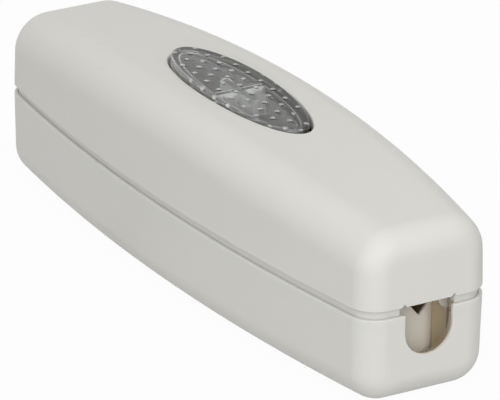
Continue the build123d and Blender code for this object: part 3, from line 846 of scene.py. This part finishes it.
def merged_copy(node: bpy.types.Object) -> Mesh:
    """Copy a solid's loose triangles with their doubled points joined.

    Args:
        node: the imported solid's object.

    Returns:
        The joined copy, in millimetres.
    """
    points = np.empty(len(node.data.vertices) * 3, np.float32)
    node.data.vertices.foreach_get("co", points)
    corners = np.empty(len(node.data.loops), np.int32)
    node.data.loops.foreach_get("vertex_index", corners)
    return joined(points.reshape(-1, 3).astype(float) / MM, corners.reshape(-1, 3))


def unit(vectors: Array) -> Array:
    """Scale vectors to length one."""
    return vectors / np.maximum(np.linalg.norm(vectors, axis=-1, keepdims=True), TINY)


def arc_radius(half: float, rise: float) -> float:
    """The radius of an arc, from half its chord and its rise."""
    return (half**2 + rise**2) / (2 * rise)


def crown(points: Array, top: float, radius: float) -> Reading:
    """An arched top, bent along x alone: a point's distance is its reach from the axis less the radius.

    Args:
        points: places in millimetres.
        top: height of the crest.
        radius: the arc's radius.

    Returns:
        Distances and normals.
    """
    rise = points[:, 2] - top + radius
    reach = np.hypot(points[:, 0], rise)
    return reach - radius, np.stack((points[:, 0], 0 * rise, rise), axis=1) / reach[:, None]


def round_join(first: Reading, second: Reading, radius: float) -> Reading:
    """Meet two surfaces in a rolled edge, as a ball of the radius would leave it.

    With u and v the two distances plus the radius, the ball's centre lies where both are nought. A point
    lies a along the first normal and b along the second from there, and where both are positive its
    distance is the length of that step less the radius. Elsewhere the farther surface rules.

    Args:
        first: distances and normals from one surface.
        second: the same from the other.
        radius: the edge's radius.

    Returns:
        Distances and normals from the joined surface.
    """
    lean = np.sum(first[1] * second[1], axis=1)
    u, v = first[0] + radius, second[0] + radius
    a = (u - lean * v) / (1 - lean**2)
    b = (v - lean * u) / (1 - lean**2)
    step = a[:, None] * first[1] + b[:, None] * second[1]
    length = np.linalg.norm(step, axis=1)
    edge = (a > 0) & (b > 0)
    outer = first[0] > second[0]
    plain = np.where(outer[:, None], first[1], second[1])
    distance = np.where(edge, length - radius, np.maximum(first[0], second[0]))
    return distance, np.where(edge[:, None], unit(step), plain)


def fine_skin(name: str, node: str, form: Form, finish: Finish, body: Body) -> bpy.types.Object:
    """Stand a copy of a solid in its place, shaded by the true curve of its moulded form.

    Args:
        name: the new piece's name.
        node: the solid that it replaces.
        form: gives distances and normals from the moulded form.
        finish: what it is finished in.
        body: the body that it rides on.

    Returns:
        The new piece.
    """
    mesh = merged_copy(FRAME["nodes"][node])
    piece = put_in(name, mesh, finish, body)
    corners = np.empty(len(piece.data.loops), np.int32)
    piece.data.loops.foreach_get("vertex_index", corners)
    triangles = mesh.points[corners.reshape(-1, 3)]
    facing = unit(np.cross(triangles[:, 1] - triangles[:, 0], triangles[:, 2] - triangles[:, 0]))
    distance, normal = form(mesh.points)
    near = np.abs(distance[corners]) < SKIN_REACH
    agrees = np.sum(normal[corners] * np.repeat(facing, 3, axis=0), axis=1) > SKIN_AGREEMENT
    bent = np.where((near & agrees)[:, None], normal[corners], 0.0)
    piece.data.normals_split_custom_set(bent.tolist())
    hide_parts(node)
    return piece


def middle(node: str) -> Array:
    """The middle of a solid's box in plan, in millimetres."""
    corners = np.array([tuple(corner) for corner in FRAME["nodes"][node].bound_box])
    return (corners.min(axis=0) + corners.max(axis=0))[:2] / (2 * MM)


def grid(rows: int, steps: int, closed: bool) -> Array:
    """Number the corners of every cell of a grid whose columns wrap round.

    Args:
        rows: rows of points.
        steps: points in a row.
        closed: whether the last row joins the first.

    Returns:
        Four point numbers for each cell, in order round it.
    """
    row, column = np.meshgrid(np.arange(rows if closed else rows - 1), np.arange(steps), indexing="ij")
    next_row, next_column = (row + 1) % rows, (column + 1) % steps
    corners = ((row, column), (row, next_column), (next_row, next_column), (next_row, column))
    return np.stack([(r * steps + c).ravel() for r, c in corners], axis=1)


def repeated(points: Array, faces: Array, middles: Array) -> Mesh:
    """Set one shape of four-cornered faces down at several middles, as one joined mesh."""
    starts = np.arange(len(middles))[:, None, None] * len(points)
    return joined((middles[:, None, :] + points).reshape(-1, 3), (faces + starts).reshape(-1, 4))


def turned(profile: Array, middles: Array, steps: int) -> Mesh:
    """Turn one closed profile about upright axes.

    Each point of the grid lies at its axis plus the profile's reach along the turning direction, at the
    profile's height. The grid wraps round both ways, so every ring is closed.

    Args:
        profile: rows of reach and height, in order round the section with its body on the left.
        middles: one row of x, y and z for each axis.
        steps: points round a turn.

    Returns:
        The turned rings as one mesh.
    """
    angle = np.arange(steps) * 2 * pi / steps
    reach, height = profile[:, :1], profile[:, 1:] + 0 * angle
    ring = np.stack((reach * np.cos(angle), reach * np.sin(angle), height), axis=-1).reshape(-1, 3)
    return repeated(ring, grid(len(profile), steps, True), middles)


def drawn_out(path: Array, middles: Array, radius: float, steps: int) -> Mesh:
    """Draw a round wire along one flat path, with closed ends, and repeat it.

    Each point of the grid lies at its path point plus the radius along a direction that turns between the
    path's own sideways normal and the y axis. The first and last rings shrink onto the path.

    Args:
        path: rows of x and z, all at y nought.
        middles: one row of x, y and z for each wire.
        radius: the wire's radius.
        steps: points round the wire.

    Returns:
        The wires as one mesh.
    """
    path = np.vstack((path[:1], path, path[-1:]))
    run = unit(np.gradient(path, axis=0))
    angle = np.arange(steps) * 2 * pi / steps
    size = np.full((len(path), 1), radius)
    size[[0, -1]] = 0.0
    out, side = size * np.cos(angle), size * np.sin(angle)
    wire = np.stack((path[:, :1] - run[:, 1:] * out, side, path[:, 1:] + run[:, :1] * out), axis=-1)
    faces = grid(len(path), steps, False)[:, (0, 3, 2, 1)]
    return repeated(wire.reshape(-1, 3), faces, middles)


@dataclass
class Housing:
    """The two moulded shells, with sizes in millimetres."""

    length: float = 98.0
    mid_width: float = 26.5
    end_width: float = 19.2
    corner: float = 4.0
    top: float = HOUSING_TOP
    camber: float = 3.2
    top_edge: float = 5.6
    base_edge: float = 4.6
    rim: float = 12.7
    seam: float = 13.9
    seam_edge: float = 0.12
    draft: float = radians(1.0)
    # The housing's glow is a painted glow in the room inside each end
    plastic: Finish = Shell("ivory_plastic", linear(212, 211, 206), 0.5, depth=0.3, glow=0.06)

    def lean(self, points: Array) -> Array:
        """How far normals tip by the draft, up above the seam strip's middle and down below it."""
        return tan(self.draft) * np.where(points[:, 2] < (self.seam + self.rim) / 2, -1, 1)

    def side(self, points: Array, fall: Array) -> Reading:
        """The bowed long sides: upright arcs in plan, leaning in by the draft as they leave the seam.

        A point's distance is its reach from the arc's middle less the radius, plus the fall.

        Args:
            points: places in millimetres.
            fall: how far the draft has drawn the wall in at each.

        Returns:
            Distances and normals.
        """
        radius = arc_radius(self.length / 2, (self.mid_width - self.end_width) / 2)
        across = np.abs(points[:, 1]) + radius - self.mid_width / 2
        reach = np.hypot(points[:, 0], across)
        out = np.stack((points[:, 0], across * np.where(points[:, 1] < 0, -1, 1)), axis=1) / reach[:, None]
        distance = (reach - radius + fall) * cos(self.draft)
        return distance, unit(np.column_stack((out, self.lean(points))))

    def end(self, points: Array, fall: Array) -> Reading:
        """The flat ends, leaning in by the draft as they leave the seam.

        Args:
            points: places in millimetres.
            fall: how far the draft has drawn the wall in at each.

        Returns:
            Distances and normals.
        """
        out = np.where(points[:, 0] < 0, -1.0, 1.0)
        distance = (np.abs(points[:, 0]) - self.length / 2 + fall) * cos(self.draft)
        return distance, unit(np.stack((out, 0 * out, self.lean(points)), axis=1))

    def upper_form(self, points: Array) -> Reading:
        """Bowed sides, cambered top and flat ends, with rolled edges where they meet.

        Args:
            points: places in millimetres.

        Returns:
            Distances and normals.
        """
        fall = (points[:, 2] - self.seam) * tan(self.draft)
        top = crown(points, self.top, arc_radius(self.length / 2, self.camber))
        down = np.tile((0.0, 0.0, -1.0), (len(points), 1))
        form = round_join(self.side(points, fall), top, self.top_edge)
        form = round_join(form, self.end(points, fall), self.corner)
        return round_join(form, (self.seam - points[:, 2], down), self.seam_edge)

    def lower_form(self, points: Array) -> Reading:
        """Bowed sides, flat base and flat ends, with rolled edges where they meet.

        Args:
            points: places in millimetres.

        Returns:
            Distances and normals.
        """
        fall = (self.rim - points[:, 2]) * tan(self.draft)
        up = np.tile((0.0, 0.0, 1.0), (len(points), 1))
        form = round_join(self.side(points, fall), (-points[:, 2], -up), self.base_edge)
        form = round_join(form, self.end(points, fall), self.corner)
        return round_join(form, (points[:, 2] - self.rim, up), self.seam_edge)

    def build(self) -> None:
        """Build and dress both shells."""
        fine_skin("upper_housing", "upper_shell", self.upper_form, self.plastic, Body.HOUSING)
        fine_skin("lower_housing", "lower_shell", self.lower_form, self.plastic, Body.HOUSING)


@dataclass
class Button:
    """The clear push button, with sizes in millimetres."""

    half: Pair = CAP_HALF
    lift: float = 0.58
    tip: float = CAP_TIP
    crest: float = HOUSING_TOP
    camber_radius: float = 376.74
    edge: float = 0.45
    dot_pitch: float = DOT_PITCH
    dot_radius: float = 0.45
    dot_height: float = 0.2
    clear: Finish = ClearCap("clear_plastic", linear(236, 237, 235), 0.02)

    def form(self, points: Array) -> Reading:
        """An upright oval, tipped, under a cambered top with a rolled edge and raised dots.

        The oval's level is the sum of the squared shares of its half sizes, less one. A point's distance
        is the level over its rate of change. Each dot is a ball, which rules where it is nearer.

        Args:
            points: places in millimetres.

        Returns:
            Distances and normals.
        """
        turn = np.array(((cos(self.tip), 0, -sin(self.tip)), (0, 1, 0), (sin(self.tip), 0, cos(self.tip))))
        own = (points - (0, 0, self.crest)) @ turn.T
        slope = np.pad(own[:, :2] / np.square(self.half), ((0, 0), (0, 1)))
        level = np.sum(slope * own, axis=1) - 1
        steep = np.maximum(np.linalg.norm(slope, axis=1), TINY)
        side = (level / (2 * steep), unit(slope))
        distance, normal = round_join(side, crown(own, self.lift, self.camber_radius), self.edge)
        step, ball = self.from_dots(own)
        dot = np.linalg.norm(step, axis=1) - ball
        raised = np.abs(dot) < np.abs(distance)
        distance = np.where(raised, dot, distance)
        normal = np.where(raised[:, None], unit(step), normal)
        return distance, normal @ turn

    def from_dots(self, own: Array) -> tuple[Array, float]:
        """Steps from the middle of the nearest dot's ball.

        The dots stand where the column and row numbers of half-pitch steps add up to an even number, so a
        point is taken to the nearest such pair.

        Args:
            own: points in the button's own frame.

        Returns:
            The steps, and the ball's radius.
        """
        ball = arc_radius(self.dot_radius, self.dot_height)
        cells = own[:, :2] * 2 / self.dot_pitch
        whole = np.round(cells)
        stray = cells - whole
        odd = np.sum(whole, axis=1) % 2 != 0
        wider = np.abs(stray) >= np.max(np.abs(stray), axis=1, keepdims=True)
        whole = whole + np.where(odd[:, None] & wider, np.sign(stray), 0)
        centre = np.pad(whole * self.dot_pitch / 2, ((0, 0), (0, 1)))
        sag = self.camber_radius - np.sqrt(self.camber_radius**2 - centre[:, 0] ** 2)
        centre[:, 2] = self.lift + self.dot_height - ball - sag
        return own - centre, ball

    def build(self) -> None:
        """Build and dress the button."""
        fine_skin("clear_button", "push_button", self.form, self.clear, Body.BUTTON)


@dataclass
class Board:
    """The parts inside: each keeps its solid and gets its finish, and the board gets its wire and solder.

    Sizes are in millimetres. The coil has an inner and an outer radius, a foot and a top.
    """

    coil: tuple[float, float, float, float] = (1.8, 3.2, 9.7, 16.6)
    wire: float = 0.27
    bulge_steps: int = 9
    coil_steps: int = 48
    resistor_row: float = 7.04
    lead: float = 0.3
    lead_path: tuple[Pair, ...] = ((2.9, 9.6), (3.5, 9.6), (3.74, 9.5), (3.8, 9.2), (3.8, 6.3))
    lead_steps: int = 12
    underside: float = 6.8
    solder_steps: int = 20
    solder_profile: tuple[Pair, ...] = (
        (0.0, -0.85),
        (0.26, -0.8),
        (0.42, -0.45),
        (0.62, -0.14),
        (0.9, 0.02),
        (0.0, 0.02),
    )
    copper: Finish = Plated("copper_wire", linear(184, 108, 62), 0.3)
    tinned: Finish = Plated("tinned_wire", linear(196, 198, 200), 0.25)
    solder: Finish = Plated("solder", linear(176, 178, 182), 0.3)
    feet: dict[str, tuple[Pair, ...]] = field(
        default_factory=lambda: {
            "triac": ((-2.3, 0.0), (0.0, 0.0), (2.3, 0.0)),
            "locator_lamp": ((-0.7, 0.0), (0.7, 0.0)),
            "film_capacitor": ((-5.0, 0.0), (5.0, 0.0)),
            "electrolytic_capacitor": ((-1.75, 0.0), (1.75, 0.0)),
            "choke_core": ((-2.5, 0.0), (2.5, 0.0)),
            "fuse": ((-2.0, 0.0), (2.0, 0.0)),
            "varistor": ((0.0, -2.5), (0.0, 2.5)),
            "switch_body": ((-2.6, -2.2), (2.6, -2.2), (-2.6, 2.2), (2.6, 2.2)),
            "front_terminal_block": ((0.0, -2.5), (0.0, 2.5)),
            "rear_terminal_block": ((0.0, -2.5), (0.0, 2.5)),
        }
    )
    finishes: dict[str, Finish] = field(
        default_factory=lambda: {
            "circuit_board": Laminate("lacquered_board", linear(62, 96, 60), 0.35),
            "switch_body": Moulded("black_switch", linear(34, 34, 35), 0.45),
            "switch_stem": Moulded("black_stem", linear(30, 30, 31), 0.4),
            "locator_lamp": Moulded("lamp_resin", linear(232, 240, 222), 0.3, depth=0.4, glow=0.18),
            "heat_sink": Plated("plain_sheet", linear(190, 190, 194), 0.4),
            "triac": Moulded("black_triac", linear(28, 28, 29), 0.5),
            "film_capacitor": Moulded("yellow_case", linear(208, 176, 64), 0.35),
            "electrolytic_capacitor": Sleeved("dark_sleeve", linear(34, 36, 44), 0.3),
            "choke_core": Moulded("ferrite", linear(52, 52, 54), 0.6, mottle=0.15, grain=0.03),
            "fuse": Moulded("brown_case", linear(80, 52, 40), 0.45),
            "varistor": Dipped("blue_dip", linear(44, 78, 140), 0.25),
            "controller_chip": Moulded("black_chip", linear(32, 32, 33), 0.55),
            "rectifier": Moulded("black_rectifier", linear(30, 30, 31), 0.5),
            "resistors": Banded("ringed_lacquer", linear(120, 160, 190), 0.3),
            "front_terminal_block": Moulded("front_terminal", linear(70, 112, 80), 0.4),
            "rear_terminal_block": Moulded("rear_terminal", linear(70, 112, 80), 0.4),
            "terminal_cages": Plated("brass_cages", linear(200, 166, 96), 0.35),
            "terminal_screws": Plated("bright_clamp_screws", linear(186, 186, 188), 0.35),
            "housing_screws": Plated("bright_housing_screws", linear(186, 186, 188), 0.35),
        }
    )

    def dress(self) -> None:
        """Give the solids that stay their finishes."""
        for node, finish in self.finishes.items():
            piece = FRAME["nodes"][node]
            piece.data.materials.clear()
            piece.data.materials.append(finish.material())
            LOG.info("%s: dressed", node)

    def choke_turns(self) -> None:
        """Wind the choke: half a round of wire for each turn up the coil, over a plain inner face."""
        inner, outer, low, high = self.coil
        count = round((high - low) / (2 * self.wire))
        step = (high - low) / count
        bulge = np.linspace(-pi / 2, pi / 2, self.bulge_steps)
        height = low + step * (np.arange(count) + 0.5)
        reach = np.broadcast_to(outer - self.wire + self.wire * np.cos(bulge), (count, len(bulge)))
        turns = np.stack((reach, height[:, None] + step / 2 * np.sin(bulge)), axis=-1).reshape(-1, 2)
        profile = np.vstack((turns, ((inner, high), (inner, low))))
        middles = np.array([(*middle("choke_core"), 0.0)])
        coil = turned(profile, middles, self.coil_steps)
        piece = put_in("choke_turns", coil, self.copper, Body.HOUSING)
        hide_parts("choke_winding")

    def leads(self) -> Array:
        """Bend the resistors' leads down through the board.

        Returns:
            The leads' places in plan.
        """
        near, far = Banded.middles
        rows = np.array(((near, -self.resistor_row, 0.0), (far, self.resistor_row, 0.0)))
        path = np.array(self.lead_path)
        right = drawn_out(path, rows, self.lead, self.lead_steps)
        left = drawn_out(path[::-1] * (-1, 1), rows, self.lead, self.lead_steps)
        both = Mesh(
            np.vstack((right.points, left.points)),
            np.vstack((right.faces, left.faces + len(right.points))),
        )
        put_in("resistor_leads", both, self.tinned, Body.HOUSING)
        out = np.array((path[-1, 0], 0.0))
        return np.vstack((rows[:, :2] + out, rows[:, :2] - out))

    def build(self) -> None:
        """Dress the solids that stay and add wire and solder."""
        self.dress()
        self.choke_turns()
        feet = [middle(node) + np.array(steps) for node, steps in self.feet.items()]
        places = np.vstack((*feet, self.leads()))
        middles = np.column_stack((places, np.full(len(places), self.underside)))
        joints = turned(np.array(self.solder_profile), middles, self.solder_steps)
        put_in("solder_joints", joints, self.solder, Body.HOUSING)


@dataclass(frozen=True)
class Lamp:
    """A soft square lamp: where it stands, in degrees, its side in metres and its power in watts."""

    name: str
    azimuth: float
    elevation: float
    size: float
    power: float


@dataclass
class Studio:
    """The floor, the light and the camera, with the view in millimetres and the rest in metres."""

    image_width: int = 500
    focal_pixels: float = 5500.0
    sensor: float = 36.0
    clip: Pair = (0.01, 20.0)
    azimuth: float = radians(58.8)
    elevation: float = radians(22.53)
    roll: float = radians(0.71)
    distance: float = 747.5
    target: Triple = (12.39, -5.60, 16.33)
    lamps: tuple[Lamp, ...] = (
        Lamp("key", 60.0, 25.0, 1.8, 17.0),
        Lamp("overhead", 60.0, 88.0, 1.8, 3.6),
    )
    lamp_distance: float = 1.2
    lamp_aim: Triple = (0.0, 0.0, 0.015)
    ambient: float = 0.455
    ambient_colour: Triple = (1.0, 0.995, 0.985)
    floor_size: float = 6.0
    floor_level: float = -0.1 * MM
    floor_finish: Finish = PaleFloor("pale_floor", (0.6, 0.6, 0.6), 0.0)

    def toward(self, azimuth: float, elevation: float) -> Vector:
        """The direction from the object to a place round it."""
        return Vector((sin(azimuth) * cos(elevation), -cos(azimuth) * cos(elevation), sin(elevation)))

    def camera(self) -> None:
        """Stand the camera where the view was taken from."""
        back = self.toward(self.azimuth, self.elevation)
        right = (-back).cross(Vector((0, 0, 1))).normalized()
        up = right.cross(-back)
        across = right * cos(self.roll) + up * sin(self.roll)
        above = up * cos(self.roll) - right * sin(self.roll)
        place = (Vector(self.target) + back * self.distance) * MM
        data = bpy.data.cameras.new("view")
        data.sensor_fit = "HORIZONTAL"
        data.sensor_width = self.sensor
        data.lens = self.sensor * self.focal_pixels / self.image_width
        data.clip_start, data.clip_end = self.clip
        camera = bpy.data.objects.new("view", data)
        turn = Matrix((across, above, back)).transposed().to_4x4()
        camera.matrix_world = Matrix.Translation(place) @ turn
        bpy.context.scene.collection.objects.link(camera)
        bpy.context.scene.camera = camera

    def light(self, lamp: Lamp) -> None:
        """Stand a lamp facing the object.

        Args:
            lamp: where it stands, its size and its power.
        """
        data = bpy.data.lights.new(lamp.name, "AREA")
        data.shape, data.size, data.energy = "SQUARE", lamp.size, lamp.power
        made = bpy.data.objects.new(lamp.name, data)
        back = self.toward(radians(lamp.azimuth), radians(lamp.elevation))
        made.location = Vector(self.lamp_aim) + back * self.lamp_distance
        made.rotation_euler = back.to_track_quat("Z", "Y").to_euler()
        bpy.context.scene.collection.objects.link(made)

    def backdrop(self) -> None:
        """White where it is seen, and a plain soft light for the rest."""
        world = bpy.data.worlds.new("studio")
        world.use_nodes = True
        bpy.context.scene.world = world
        net = Net(world.node_tree)
        kinds = ((self.ambient_colour, self.ambient), (WHITE, 1.0))
        soft, white = (
            net.node("ShaderNodeBackground", None, {"Color": colour, "Strength": strength})
            for colour, strength in kinds
        )
        net.close(net.blend(net.seen(), soft, white), "ShaderNodeOutputWorld")

    def floor(self) -> None:
        """Lay the floor just under the object."""
        half = self.floor_size / 2
        data = bpy.data.meshes.new("floor")
        corners = [(-half, -half), (half, -half), (half, half), (-half, half)]
        data.from_pydata([(*corner, self.floor_level) for corner in corners], [], [(0, 1, 2, 3)])
        data.materials.append(self.floor_finish.material())
        floor = bpy.data.objects.new("floor", data)
        bpy.context.scene.collection.objects.link(floor)

    def build(self) -> None:
        """Set the studio up."""
        self.camera()
        for lamp in self.lamps:
            self.light(lamp)
        self.backdrop()
        self.floor()
        bpy.context.scene.view_settings.view_transform = "Standard"


def main() -> None:
    """Build the sub-assemblies in order."""
    FRAME.update(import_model())
    for part in (Housing(), Button(), Board(), Studio()):
        part.build()
    bpy.context.view_layer.update()


if __name__ == "__main__":
    logging.basicConfig(level=logging.INFO, format="%(message)s")
    main()
